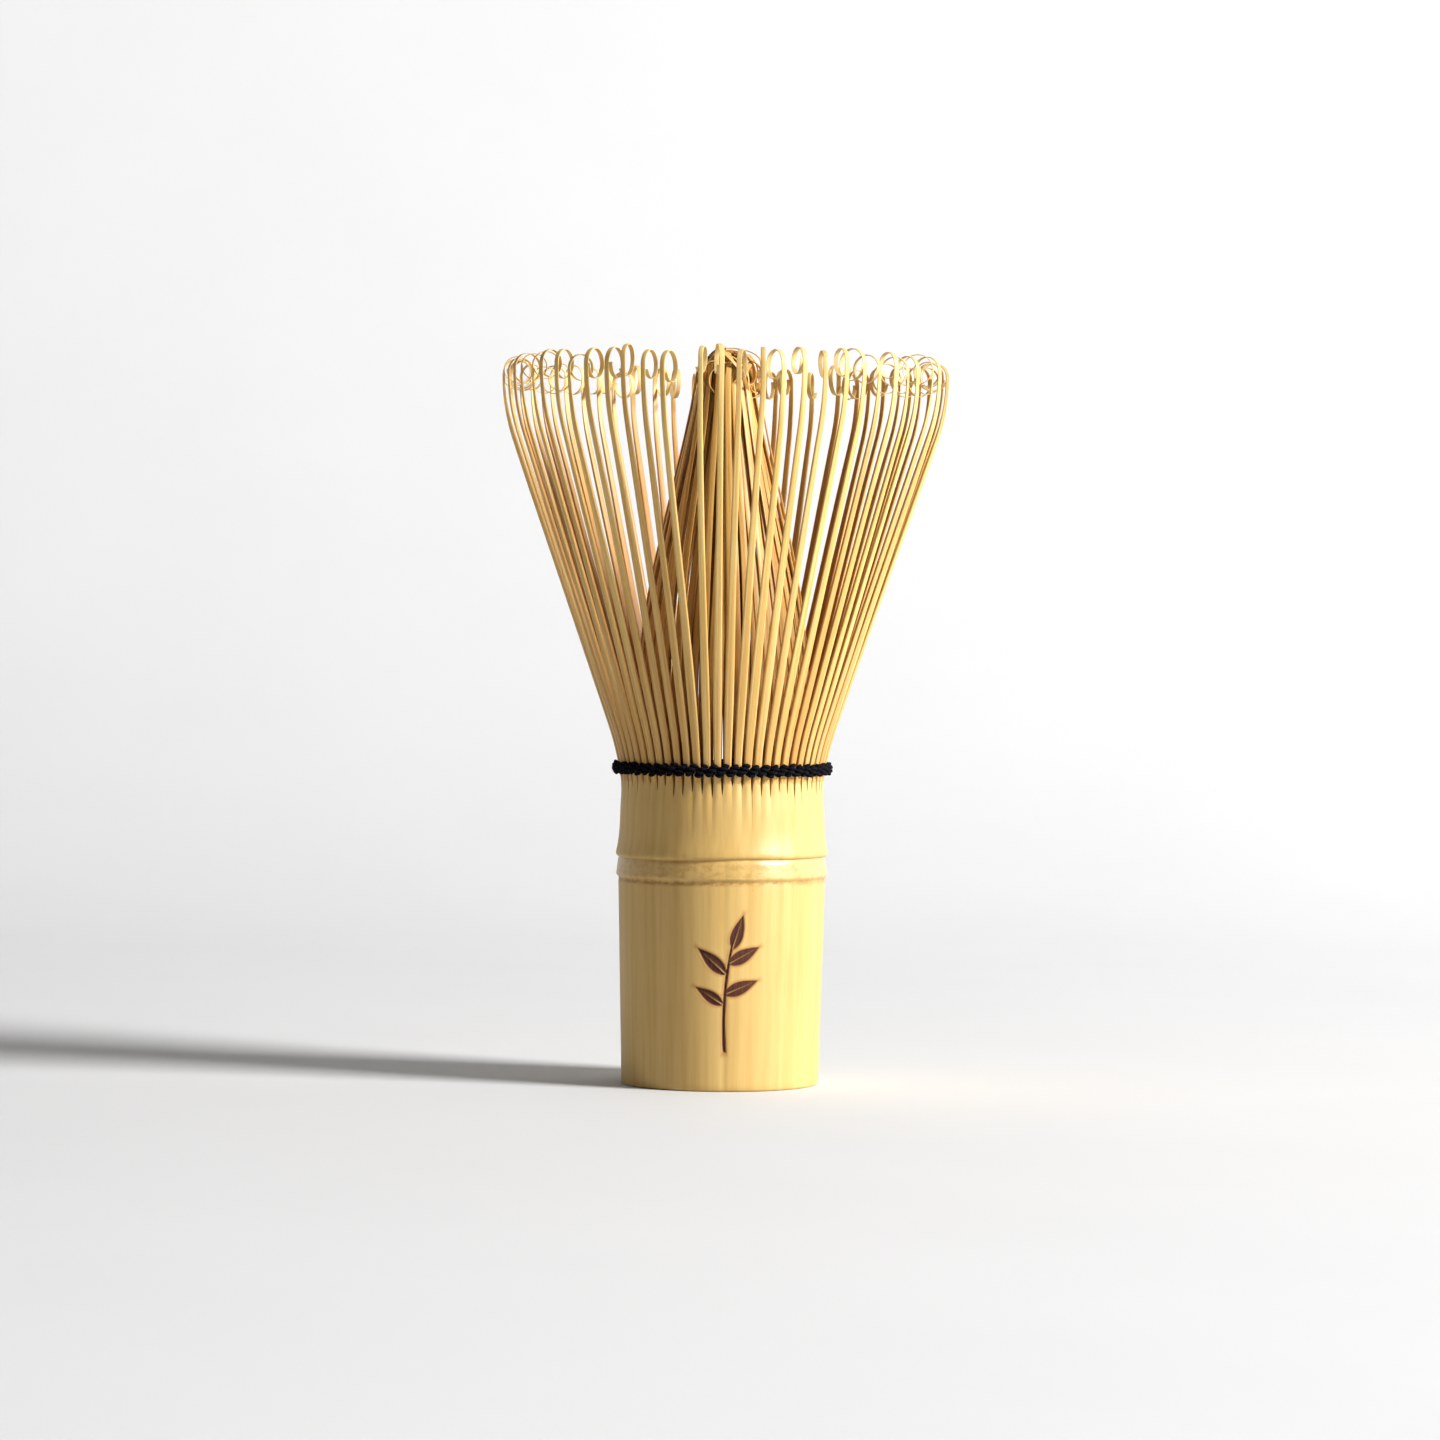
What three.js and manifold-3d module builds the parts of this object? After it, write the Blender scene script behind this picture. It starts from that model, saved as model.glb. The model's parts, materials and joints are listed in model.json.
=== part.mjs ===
// A bamboo tea whisk: one length of culm whose top is split into tines, bound with one dark thread.
// Millimetres, +Z up. The origin is the centre of the foot, and the whisk's front faces -Y.
// A turn is an angle about Z, counted from the front towards +X. A lean is an angle from the vertical,
// positive where the strip leans away from the axis.
import * as THREE from "three";
import { mergeVertices } from "three/addons/utils/BufferGeometryUtils.js";
import Module from "manifold-3d";

const wasm = await Module();
wasm.setup();

const { degToRad, lerp } = THREE.MathUtils;

// ---------------------------------------------------------------- the culm: handle, node and collar
const CULM_RADIUS = 14.5; // just below the node
const FOOT_TAPER = 0.65; // how much thinner the culm is at its foot
const FOOT_CHAMFER = 0.3;
const HANDLE_LENGTH = 28; // foot to the swelling of the node
const HANDLE_WALL = 3.4;
const HANDLE_BELLY = 0.02; // the culm's slight outward bow, halfway up the handle
const NODE_RING_PROUD = 0.2; // the node's lower ring
const NODE_RING_RISE = 1.3; // ring above the handle's top
const NODE_GROOVE_DEPTH = 0.05;
const NODE_GROOVE_RISE = 1.6; // groove above the lower ring
const SHEATH_RING_PROUD = 0.35; // the sharper ring above, where the sheath grew
const SHEATH_RING_RISE = 1.5; // ring above the groove
const SHEATH_RING_FALL = 1.2; // ring back to the culm's own width
const DIAPHRAGM_THICKNESS = 2.4;
const COLLAR_LENGTH = 9.4; // sheath ring to the foot of the splits
const COLLAR_TAPER = 0.3; // how much thinner the culm is at the splits
const CULM_FACETS = 48;
const DIAPHRAGM_FILLET = 2; // how the wall thickens into the diaphragm, below it
const COLLAR_FILLET = 1; // and above it

// ---------------------------------------------------------------- the splits
const SPLITS = 16;
const TINES_PER_SPLIT = 4;
const SPLIT_GAP = 0.3; // between a split and its neighbours, and between it and the collar
const ROOT_HEIGHT = 1.1; // the uncut root that joins a split's tines
const SKIN_LAYER = 1.2; // thickness of the outer splits' roots
const LAYER_GAP = 0.6; // between the outer and the inner roots
const FLESH_LAYER = 2; // thickness of the inner splits' roots
const ROOT_OVERLAP = 0.6; // how deep a tine is rooted

// ---------------------------------------------------------------- the outer tines
const TINE_GAP = 0.67; // between two outer tines at the thread, where each is waisted
const TINE_WIDTH = 1.05; // at its widest, above the thread
const TINE_TIP_WIDTH = 0.75;
const TINE_THICKNESS = 0.45;
const RIBBON_THICKNESS = 0.2; // the thinned, curled end
const ROOT_LEAN = degToRad(8);
const FLARE_LEAN = degToRad(18.8);
const ROOT_BEND_LENGTH = 8;
const FLARE_LENGTH = 42.6;
const SHOULDER_LENGTH = 9.0; // where the tine turns upright
const CURL_RADIUS = 1.9;
const CURL_TURN = degToRad(320);
const CURL_STEPS = 6;

// ---------------------------------------------------------------- the inner tines
const INNER_GAP = 0.35; // between two inner tines at their roots
const INNER_THICKNESS = 0.35;
const CONE_HEIGHT = 59.5; // root to tip
const CONE_SHOULDER = 39.5; // how high above the root the cone keeps its width
const CONE_NECK = 16; // how far below the tips the cone has closed
const CONE_BULGE = 0.6;
const KNOT_RADIUS = 4.3; // of the outermost tips
const KNOT_LAYER = 0.75; // from one tip of a split to the next one in
const KNOT_GAP = 0.2; // between two splits at the innermost tips

// ---------------------------------------------------------------- the thread
const THREAD_RISE = 2.6; // above the collar's top
const THREAD_THICKNESS = 0.28;
const THREAD_HEIGHT = 0.6; // of one flattened strand
const THREAD_TWINE = 0.42; // how far a strand swings above and below the band's middle
const THREAD_CLEARANCE = 0.06;
const TAIL_DIAMETER = 0.45;
const TAIL_LENGTH = 4.4;
const TAIL_TURN = degToRad(5);
const THREAD_KNOT_RADIUS = 0.55;

// ---------------------------------------------------------------- hand-made unevenness of the tines
const DRIFT = degToRad(0.7); // sideways, at the top
const LEAN_SPREAD = degToRad(0.45);
const LENGTH_SPREAD = 0.5;
const CURL_SPREAD = 0.2;
const CURL_TURN_SPREAD = degToRad(15);
// where the tines have parted: at this turn, those beside it are pushed apart, fading over the reach
const PARTINGS = [
  { turn: degToRad(-11.25), push: degToRad(1.8), reach: degToRad(20) },
  { turn: degToRad(152), push: degToRad(1.6), reach: degToRad(20) },
];

// ---------------------------------------------------------------- values that follow from those above
const OUTER_TINES = SPLITS * TINES_PER_SPLIT;
const PITCH = (2 * Math.PI) / OUTER_TINES;
const NODE_RING_Z = HANDLE_LENGTH + NODE_RING_RISE;
const NODE_GROOVE_Z = NODE_RING_Z + NODE_GROOVE_RISE;
const SHEATH_RING_Z = NODE_GROOVE_Z + SHEATH_RING_RISE;
const COLLAR_TOP = SHEATH_RING_Z + COLLAR_LENGTH;
const COLLAR_RADIUS = CULM_RADIUS - COLLAR_TAPER;
const ROOT_Z = COLLAR_TOP + SPLIT_GAP;
const TINE_FOOT_Z = ROOT_Z + ROOT_HEIGHT - ROOT_OVERLAP;
const SKIN_INNER_RADIUS = COLLAR_RADIUS - SKIN_LAYER;
const FLESH_OUTER_RADIUS = SKIN_INNER_RADIUS - LAYER_GAP;
const FLESH_INNER_RADIUS = FLESH_OUTER_RADIUS - FLESH_LAYER;
const THREAD_Z = COLLAR_TOP + THREAD_RISE;
const SPLIT_TURN = TINES_PER_SPLIT * PITCH;

// ---------------------------------------------------------------- materials
const bamboo = new THREE.MeshStandardMaterial({ name: "bamboo_skin", color: 0xe0bd78, roughness: 0.45 });
const skinStrip = new THREE.MeshStandardMaterial({ name: "outer_tine", color: 0xd9b36a, roughness: 0.5 });
const fleshStrip = new THREE.MeshStandardMaterial({ name: "inner_tine", color: 0xc99a4f, roughness: 0.55 });
const cotton = new THREE.MeshStandardMaterial({ name: "thread", color: 0x0a0b1c, roughness: 0.9 });

// ---------------------------------------------------------------- helpers

/** A fixed number between -1 and 1 for each tine and each use, so that every build is the same. */
function scatter(tine, use) {
  const spread = Math.sin(12.9898 * tine + 78.233 * use) * 43758.5453;
  return 2 * (spread - Math.floor(spread)) - 1;
}

/** A closed geometry as a manifold-3d solid. */
function solidOf(geometry) {
  const bare = geometry.clone();
  bare.deleteAttribute("normal");
  bare.deleteAttribute("uv");
  const merged = mergeVertices(bare, 1e-4);
  return new wasm.Manifold(
    new wasm.Mesh({
      numProp: 3,
      vertProperties: new Float32Array(merged.attributes.position.array),
      triVerts: new Uint32Array(merged.index.array),
    }),
  );
}

/** Several closed geometries that run into each other, joined into one. */
function joined(geometries) {
  const solid = geometries.map(solidOf).reduce((whole, next) => whole.add(next));
  const mesh = solid.getMesh();
  const geometry = new THREE.BufferGeometry();
  geometry.setAttribute("position", new THREE.BufferAttribute(mesh.vertProperties, mesh.numProp));
  geometry.setIndex(new THREE.BufferAttribute(mesh.triVerts, 1));
  geometry.computeVertexNormals();
  return geometry;
}

/** A block standing on a sector of a ring, centred on the front. */
function ringSector(inner, outer, spread, bottom, height) {
  const from = -Math.PI / 2 - spread / 2;
  const to = -Math.PI / 2 + spread / 2;
  const outline = new THREE.Shape();
  outline.absarc(0, 0, outer, from, to, false);
  outline.absarc(0, 0, inner, to, from, true);
  const block = new THREE.ExtrudeGeometry(outline, { depth: height, bevelEnabled: false, curveSegments: 2 });
  return block.translate(0, 0, bottom);
}

/**
 * The stations of a strip, starting from one of them. Each stretch turns evenly to its own lean, so it is
 * an arc or a straight line in the upright plane through the axis, and its section changes evenly.
 */
function walk(start, stretches) {
  const stations = [start];
  for (const stretch of stretches) {
    const from = stations.at(-1);
    for (let step = 1; step <= stretch.steps; step++) {
      const before = stations.at(-1);
      const share = step / stretch.steps;
      const lean = lerp(from.lean, stretch.lean, share);
      const half = (lean - before.lean) / 2;
      const chord = (stretch.length / stretch.steps) * (half ? Math.sin(half) / half : 1);
      stations.push({
        r: before.r + chord * Math.sin(before.lean + half),
        z: before.z + chord * Math.cos(before.lean + half),
        lean,
        width: lerp(from.width, stretch.width, share),
        thickness: lerp(from.thickness, stretch.thickness, share),
      });
    }
  }
  return stations;
}

/** A flat strip bent along its stations. turnAt gives the turn that each station stands at. */
function bentStrip(stations, turnAt) {
  const steps = stations.length - 1;
  const strip = new THREE.BoxGeometry(1, 1, 1, 1, 1, steps);
  const corners = strip.getAttribute("position");
  for (let i = 0; i < corners.count; i++) {
    const place = Math.round((corners.getZ(i) + 0.5) * steps);
    const station = stations[place];
    const across = corners.getX(i) * station.width;
    const outward = -corners.getY(i) * station.thickness;
    const radius = station.r + outward * Math.cos(station.lean);
    const turn = turnAt(station, place / steps);
    corners.setXYZ(
      i,
      radius * Math.sin(turn) + across * Math.cos(turn),
      -radius * Math.cos(turn) + across * Math.sin(turn),
      station.z - outward * Math.sin(station.lean),
    );
  }
  return strip;
}

/** A mesh with its node's name. */
function piece(name, geometry, material) {
  const mesh = new THREE.Mesh(geometry, material);
  mesh.name = name;
  return mesh;
}

// ---------------------------------------------------------------- the culm

/** The culm turned on its axis: open foot, diaphragm at the node, collar up to the splits. */
function culm() {
  const handleBottom = CULM_RADIUS - FOOT_TAPER;
  const middle = CULM_RADIUS - FOOT_TAPER / 2 + HANDLE_BELLY;
  const profile = [
    [0, NODE_RING_Z - DIAPHRAGM_THICKNESS / 2],
    [CULM_RADIUS - HANDLE_WALL - DIAPHRAGM_FILLET, NODE_RING_Z - DIAPHRAGM_THICKNESS / 2],
    [CULM_RADIUS - HANDLE_WALL, NODE_RING_Z - DIAPHRAGM_THICKNESS / 2 - DIAPHRAGM_FILLET],
    [handleBottom - HANDLE_WALL, 0],
    [handleBottom - FOOT_CHAMFER, 0],
    [handleBottom, FOOT_CHAMFER],
    [middle, HANDLE_LENGTH / 2],
    [CULM_RADIUS, HANDLE_LENGTH],
    [CULM_RADIUS + NODE_RING_PROUD, NODE_RING_Z],
    [CULM_RADIUS - NODE_GROOVE_DEPTH, NODE_GROOVE_Z],
    [CULM_RADIUS + SHEATH_RING_PROUD, SHEATH_RING_Z],
    [CULM_RADIUS, SHEATH_RING_Z + SHEATH_RING_FALL],
    [COLLAR_RADIUS, COLLAR_TOP],
    [FLESH_INNER_RADIUS, COLLAR_TOP],
    [FLESH_INNER_RADIUS, NODE_RING_Z + DIAPHRAGM_THICKNESS / 2 + COLLAR_FILLET],
    [FLESH_INNER_RADIUS - COLLAR_FILLET, NODE_RING_Z + DIAPHRAGM_THICKNESS / 2],
    [0, NODE_RING_Z + DIAPHRAGM_THICKNESS / 2],
  ];
  const points = profile.map(([radius, height]) => new THREE.Vector2(radius, height));
  return new THREE.LatheGeometry(points, CULM_FACETS).rotateX(Math.PI / 2);
}

// ---------------------------------------------------------------- the splits

/** The turn of a tine's root. */
const rootTurn = (tine) => (tine + 0.5) * PITCH;

/** How far a tine has turned from its root by the time it reaches the top. */
function driftOf(tine) {
  let drift = DRIFT * scatter(tine, 1);
  for (const parting of PARTINGS) {
    const away = Math.atan2(Math.sin(rootTurn(tine) - parting.turn), Math.cos(rootTurn(tine) - parting.turn));
    drift += Math.sign(away) * parting.push * Math.exp(-Math.abs(away) / parting.reach);
  }
  return drift;
}

/** One outer tine, in the frame of its split: flared, turned upright at its shoulder, and curled inward. */
function outerTine(tine, splitTurn) {
  const flareLean = FLARE_LEAN + LEAN_SPREAD * scatter(tine, 2);
  const flareLength = FLARE_LENGTH + LENGTH_SPREAD * scatter(tine, 3);
  const curlRadius = CURL_RADIUS + CURL_SPREAD * scatter(tine, 4);
  const curlTurn = CURL_TURN + CURL_TURN_SPREAD * scatter(tine, 5);
  const start = {
    r: COLLAR_RADIUS - TINE_THICKNESS / 2,
    z: TINE_FOOT_Z,
    lean: ROOT_LEAN,
    width: COLLAR_RADIUS * PITCH - TINE_GAP,
    thickness: TINE_THICKNESS,
  };
  const waistLength = THREAD_Z + THREAD_TWINE + THREAD_HEIGHT - TINE_FOOT_Z;
  const waistLean = lerp(ROOT_LEAN, flareLean, waistLength / ROOT_BEND_LENGTH);
  const stations = walk(start, [
    { length: waistLength, lean: waistLean, width: start.width, thickness: TINE_THICKNESS, steps: 1 },
    {
      length: ROOT_BEND_LENGTH - waistLength,
      lean: flareLean,
      width: TINE_WIDTH,
      thickness: TINE_THICKNESS,
      steps: 1,
    },
    { length: flareLength, lean: flareLean, width: TINE_TIP_WIDTH, thickness: TINE_THICKNESS, steps: 1 },
    { length: SHOULDER_LENGTH, lean: 0, width: TINE_TIP_WIDTH, thickness: RIBBON_THICKNESS, steps: 2 },
    {
      length: curlRadius * curlTurn,
      lean: -curlTurn,
      width: TINE_TIP_WIDTH,
      thickness: RIBBON_THICKNESS,
      steps: CURL_STEPS,
    },
  ]);
  const shoulderZ = stations.at(-1 - CURL_STEPS).z;
  const drift = driftOf(tine);
  const turnAt = (station) => {
    const climb = THREE.MathUtils.clamp((station.z - THREAD_Z) / (shoulderZ - THREAD_Z), 0, 1);
    return rootTurn(tine) - splitTurn + drift * climb;
  };
  return bentStrip(stations, turnAt);
}

/** One inner tine, in the frame of its split: it keeps the cone's width, then closes in to the knot. */
function innerTine(tine, splitTurn, layer) {
  const rootRadius = FLESH_OUTER_RADIUS - INNER_THICKNESS * 1.5;
  const tipRadius = KNOT_RADIUS - layer * KNOT_LAYER;
  const innermost = KNOT_RADIUS - (TINES_PER_SPLIT - 1) * KNOT_LAYER;
  const tipWidth = 2 * innermost * Math.tan(SPLIT_TURN / 2) - KNOT_GAP;
  const rootWidth = rootRadius * PITCH - INNER_GAP;
  const tipZ = TINE_FOOT_Z + CONE_HEIGHT;
  const side = new THREE.CubicBezierCurve(
    new THREE.Vector2(rootRadius, TINE_FOOT_Z),
    new THREE.Vector2(rootRadius + CONE_BULGE, TINE_FOOT_Z + CONE_SHOULDER),
    new THREE.Vector2(tipRadius, tipZ - CONE_NECK),
    new THREE.Vector2(tipRadius, tipZ),
  );
  const steps = 4;
  const stations = side.getPoints(steps).map((point, i) => {
    const heading = side.getTangent(i / steps);
    return {
      r: point.x,
      z: point.y,
      lean: Math.atan2(heading.x, heading.y),
      width: lerp(rootWidth, tipWidth, i / steps),
      thickness: INNER_THICKNESS,
    };
  });
  return bentStrip(stations, (station, climb) => (rootTurn(tine) - splitTurn) * (1 - climb ** 2));
}

/** The uncut root of a split, between two radii. */
function splitRoot(inner, outer) {
  const spread = SPLIT_TURN - SPLIT_GAP / ((inner + outer) / 2);
  return ringSector(inner, outer, spread, ROOT_Z, ROOT_HEIGHT);
}

/** All the splits of one layer: a root and its tines each, turned to its place round the axis. */
function splits(label, rootOf, tineOf, material) {
  const group = new THREE.Group();
  for (let split = 0; split < SPLITS; split++) {
    const splitTurn = (split + 0.5) * SPLIT_TURN;
    const strips = [];
    for (let j = 0; j < TINES_PER_SPLIT; j++) {
      strips.push(tineOf(split * TINES_PER_SPLIT + j, splitTurn, j));
    }
    const number = String(split + 1).padStart(2, "0");
    const mesh = piece(`${label}_${number}`, joined([rootOf(), ...strips]), material);
    mesh.rotation.z = splitTurn;
    group.add(mesh);
  }
  return group;
}

// ---------------------------------------------------------------- the thread

/** The radius of the outer tines' middle, where the thread goes round them. */
function threadRadius() {
  const climb = THREAD_Z - TINE_FOOT_Z;
  const lean = lerp(ROOT_LEAN, FLARE_LEAN, climb / ROOT_BEND_LENGTH / 2);
  return COLLAR_RADIUS - TINE_THICKNESS / 2 + climb * Math.tan(lean);
}

/**
 * One strand of the thread, a closed ring. It stands outside one tine and inside the next, and passes
 * above its partner in one gap and below it in the next. phase is 0 for one strand and pi for the other.
 */
function strand(phase) {
  const stepsPerTine = 3;
  const ringRadius = threadRadius();
  const swing = TINE_THICKNESS / 2 + THREAD_CLEARANCE + THREAD_THICKNESS / 2;
  const ring = new THREE.TorusGeometry(10, 1, 3, OUTER_TINES * stepsPerTine);
  const corners = ring.getAttribute("position");
  for (let i = 0; i < corners.count; i++) {
    const turn = Math.atan2(corners.getY(i), corners.getX(i));
    const outward = Math.hypot(corners.getX(i), corners.getY(i)) - 10;
    const wave = Math.PI * (turn / PITCH) + phase;
    const radius = ringRadius + swing * Math.sign(Math.cos(wave)) + (outward * THREAD_THICKNESS) / 2;
    const rise = THREAD_TWINE * Math.sin(wave) + (corners.getZ(i) * THREAD_HEIGHT) / 2;
    corners.setXYZ(i, radius * Math.cos(turn), radius * Math.sin(turn), THREAD_Z + rise);
  }
  return ring.rotateZ(PITCH / 2);
}

/** The tied-off end of the thread: a small knot inside the band, and a tail standing up behind the tines. */
function threadTail() {
  const inside = threadRadius() - TINE_THICKNESS / 2 - THREAD_THICKNESS - 2 * THREAD_CLEARANCE;
  const knotRadius = inside - THREAD_KNOT_RADIUS - 0.3;
  const at = (radius, height) =>
    new THREE.Vector3(radius * Math.sin(TAIL_TURN), -radius * Math.cos(TAIL_TURN), THREAD_Z + height);
  const path = new THREE.CatmullRomCurve3([
    at(knotRadius, 0.2),
    at(knotRadius + 0.1, TAIL_LENGTH / 2),
    at(knotRadius + 0.5, TAIL_LENGTH),
  ]);
  const section = new THREE.Shape().absarc(0, 0, TAIL_DIAMETER / 2, 0, 2 * Math.PI);
  const tail = new THREE.ExtrudeGeometry(section, { steps: 4, curveSegments: 8, extrudePath: path });
  const knot = new THREE.SphereGeometry(THREAD_KNOT_RADIUS, 8, 5);
  const middle = at(knotRadius, 0.3);
  knot.translate(middle.x, middle.y, middle.z);
  return joined([tail, knot]);
}

// ---------------------------------------------------------------- the whisk

const whisk = new THREE.Group();
whisk.name = "bamboo_tea_whisk";
whisk.add(piece("handle_culm", culm(), bamboo));
whisk.add(
  splits("outer_split", () => splitRoot(SKIN_INNER_RADIUS, COLLAR_RADIUS), outerTine, skinStrip),
);
whisk.add(
  splits("inner_split", () => splitRoot(FLESH_INNER_RADIUS, FLESH_OUTER_RADIUS), innerTine, fleshStrip),
);
whisk.add(piece("thread_strand_first", strand(0), cotton));
whisk.add(piece("thread_strand_second", strand(Math.PI), cotton));
whisk.add(piece("thread_tail", threadTail(), cotton));

export default whisk;
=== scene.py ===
"""The looks of a bamboo tea whisk: its culm, its split collar, the flared and the gathered tines, its thread.

Shapes are worked out in millimetres, with +Z up and the whisk's front facing -Y, and turned into metres when
a mesh is made. A turn is an angle about Z from the front towards +X. A lean is an angle from the vertical,
positive where a strip leans away from the axis.
"""
import json
import math

import bpy
import numpy as np
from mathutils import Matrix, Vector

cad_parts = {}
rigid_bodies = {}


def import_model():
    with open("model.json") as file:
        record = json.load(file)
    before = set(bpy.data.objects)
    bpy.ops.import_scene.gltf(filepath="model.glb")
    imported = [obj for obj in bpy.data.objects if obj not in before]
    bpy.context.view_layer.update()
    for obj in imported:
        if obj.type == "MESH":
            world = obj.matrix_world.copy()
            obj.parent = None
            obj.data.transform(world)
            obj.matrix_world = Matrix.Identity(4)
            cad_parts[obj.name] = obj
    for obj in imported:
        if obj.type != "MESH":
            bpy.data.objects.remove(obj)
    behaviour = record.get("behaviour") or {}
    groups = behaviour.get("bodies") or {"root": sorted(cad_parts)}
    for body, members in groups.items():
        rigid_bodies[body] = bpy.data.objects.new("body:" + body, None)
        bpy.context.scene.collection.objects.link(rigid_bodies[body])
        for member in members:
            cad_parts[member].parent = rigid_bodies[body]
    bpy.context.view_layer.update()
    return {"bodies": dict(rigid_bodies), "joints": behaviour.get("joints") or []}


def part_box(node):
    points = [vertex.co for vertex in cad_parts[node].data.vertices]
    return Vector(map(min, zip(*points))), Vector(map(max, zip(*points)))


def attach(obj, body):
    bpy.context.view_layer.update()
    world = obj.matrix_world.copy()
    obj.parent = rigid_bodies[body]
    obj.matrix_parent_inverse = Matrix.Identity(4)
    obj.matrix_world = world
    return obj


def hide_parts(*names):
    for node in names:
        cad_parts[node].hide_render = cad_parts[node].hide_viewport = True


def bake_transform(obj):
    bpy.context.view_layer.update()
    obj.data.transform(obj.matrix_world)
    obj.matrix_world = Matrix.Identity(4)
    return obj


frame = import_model()

# ------------------------------------------------------------------ sizes, in millimetres and radians
METRE = 1000.0
JOINTS = {joint["child"]: joint for joint in frame["joints"]}
SPLITS = sum(body.startswith("outer_") for body in frame["bodies"])
TINES_PER_SPLIT = 4
TINES = SPLITS * TINES_PER_SPLIT
PITCH = 2 * math.pi / TINES
THREAD_Z = JOINTS["outer_01"]["pos_m"][2] * METRE
TINE_FOOT_Z = THREAD_Z - 1.8

# the culm
FOOT_RADIUS = 13.85
CULM_RADIUS = 14.5
COLLAR_RADIUS = 14.2
HANDLE_LENGTH = 28.0
HANDLE_WALL = 3.4
COLLAR_BORE = 10.4
NODE_RING_Z = 29.25
DIAPHRAGM_BOTTOM = 28.1
DIAPHRAGM_TOP = 30.5
LIP_Z = 31.8
SKIN_LAYER = 1.25
SLIT_DEPTH = 1.3
SLIT_GAP = 0.52
HAIRLINE = 0.004

# the outer tines: how they flare, turn upright and curl, and how far each may differ from the rest
ROOT_LEAN = math.radians(8)
FLARE_LEAN = math.radians(18.8)
ROOT_BEND = 8.0
FLARE_LENGTH = 42.6
SHOULDER_LENGTH = 9.0
CURL_RADIUS = 1.95
CURL_TURN = math.radians(350)
CURL_RADIUS_SPREAD = 0.2
CURL_TURN_SPREAD = math.radians(28)
CURL_TWIST = math.radians(17)
DRIFT = math.radians(0.7)
LEAN_SPREAD = math.radians(0.45)
LENGTH_SPREAD = 0.5
PARTINGS = [
    {"turn": math.radians(-11.25), "push": math.radians(1.8), "reach": math.radians(20)},
    {"turn": math.radians(152), "push": math.radians(1.6), "reach": math.radians(20)},
]

# the inner tines: the cone, and the tips that tangle into the knot
CONE_HEIGHT = 58.6
KNOT_RADIUS = 4.2
TIP_TURN = math.radians(285)
TIP_TURN_SPREAD = math.radians(80)
TIP_WINDING = math.radians(120)
TIP_TWIST = math.radians(75)
CONE_STATIONS = 44
TIP_STATIONS = 31

# the thread
STRAND_SWING = 0.62
STRAND_TWINE = 0.42
YARN_RADIUS = 0.28


def scatter(index, use):
    """A fixed number from -1 to 1 for each index and use: twice the fraction of a large sine, less 1."""
    spread = np.sin(12.9898 * np.asarray(index, float) + 78.233 * use) * 43758.5453
    return 2 * (spread - np.floor(spread)) - 1


def ease(share):
    """The smooth step 3s^2 - 2s^3 of a share held between 0 and 1."""
    share = np.clip(share, 0, 1)
    return share * share * (3 - 2 * share)


def curve_through(marks, at):
    """A smooth curve through (place, value) marks: cubic Hermite pieces with slopes by central difference."""
    places, values = np.array(marks, float).T
    slopes = np.gradient(values, places)
    at = np.clip(at, places[0], places[-1])
    i = np.clip(np.searchsorted(places, at, side="right") - 1, 0, len(places) - 2)
    width = places[i + 1] - places[i]
    t = (at - places[i]) / width
    return (
        (2 * t**3 - 3 * t**2 + 1) * values[i]
        + (t**3 - 2 * t**2 + t) * width * slopes[i]
        + (3 * t**2 - 2 * t**3) * values[i + 1]
        + (t**3 - t**2) * width * slopes[i + 1]
    )


def around(radius, turn, height):
    """Points at a radius, a turn and a height: (r sin t, -r cos t, z)."""
    radius, turn, height = np.broadcast_arrays(radius, turn, height)
    return np.stack([radius * np.sin(turn), -radius * np.cos(turn), height], axis=-1)


# ------------------------------------------------------------------ materials
class Value:
    """A number in a material. Arithmetic on it adds Math nodes."""

    def __init__(self, finish, socket):
        self.finish = finish
        self.socket = socket

    def _math(self, operation, first, second):
        return self.finish.node("ShaderNodeMath", {"operation": operation}, {0: first, 1: second})

    def __add__(self, other):
        return self._math("ADD", self, other)

    def __sub__(self, other):
        return self._math("SUBTRACT", self, other)

    def __rsub__(self, other):
        return self._math("SUBTRACT", other, self)

    def __mul__(self, other):
        return self._math("MULTIPLY", self, other)

    def __pow__(self, other):
        return self._math("POWER", self, other)

    __radd__ = __add__
    __rmul__ = __mul__


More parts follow.
